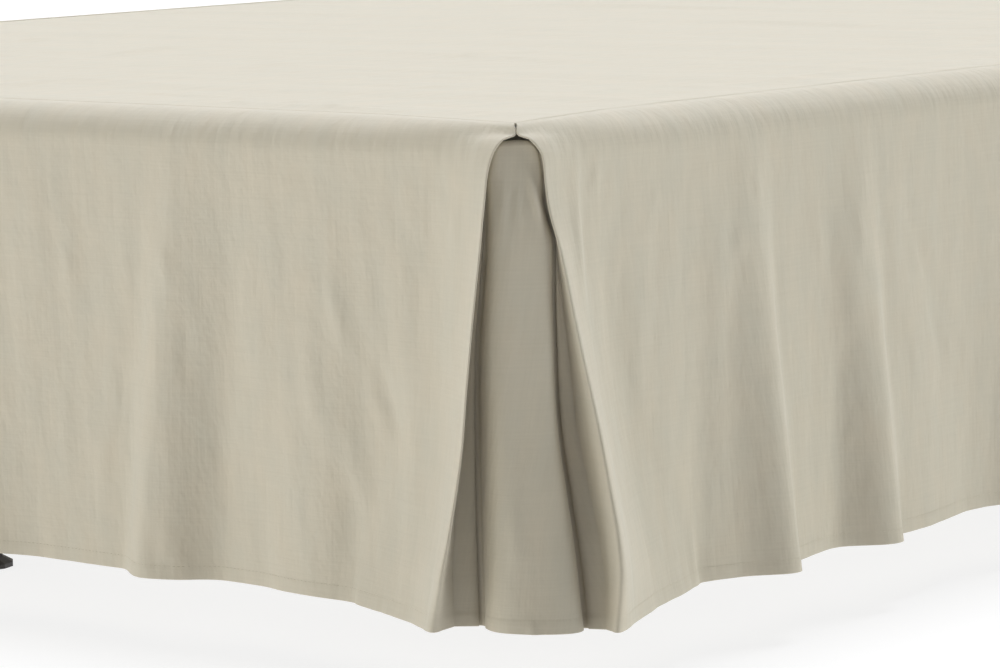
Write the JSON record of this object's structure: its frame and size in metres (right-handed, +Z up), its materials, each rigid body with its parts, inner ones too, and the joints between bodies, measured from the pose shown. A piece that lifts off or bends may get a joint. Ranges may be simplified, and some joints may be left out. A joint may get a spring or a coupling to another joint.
{
  "type": "bed skirt on a bed base",
  "caption": "Tailored linen bed skirt with a flat deck, smooth hanging drops and inverted corner pleats, over a plain bed base on legs.",
  "frame": {"origin": "on the floor, under the middle of the whole part's box", "axes": "+Z up, +Y towards the head end of the bed, the foot end with its drop at -Y"},
  "size_m": [1.6954, 2.1066, 0.438],
  "materials": {
    "linen_deck": "fine plain-weave linen, matte, slightly bleached ecru",
    "linen_drop": "plain-weave linen with slubs, matte, warm flax beige",
    "linen_insert": "the same plain-weave linen, matte",
    "base_cover": "tightly stretched plain cover cloth, matte",
    "leg_metal": "dark brown powder coat, satin",
    "glide_plastic": "moulded dark brown, satin"
  },
  "bodies": {
    "root": {"deck": "linen_deck", "foot_drop": "linen_drop", "side_drop_right": "linen_drop", "side_drop_left": "linen_drop", "corner_insert_right": "linen_insert", "corner_insert_left": "linen_insert", "bed_base": "base_cover", "leg_foot_left": "leg_metal", "glide_foot_left": "glide_plastic", "leg_centre_left": "leg_metal", "glide_centre_left": "glide_plastic", "leg_head_left": "leg_metal", "glide_head_left": "glide_plastic", "leg_foot_middle": "leg_metal", "glide_foot_middle": "glide_plastic", "leg_centre_middle": "leg_metal", "glide_centre_middle": "glide_plastic", "leg_head_middle": "leg_metal", "glide_head_middle": "glide_plastic", "leg_foot_right": "leg_metal", "glide_foot_right": "glide_plastic", "leg_centre_right": "leg_metal", "glide_centre_right": "glide_plastic", "leg_head_right": "leg_metal", "glide_head_right": "glide_plastic"}
  },
  "joints": []
}
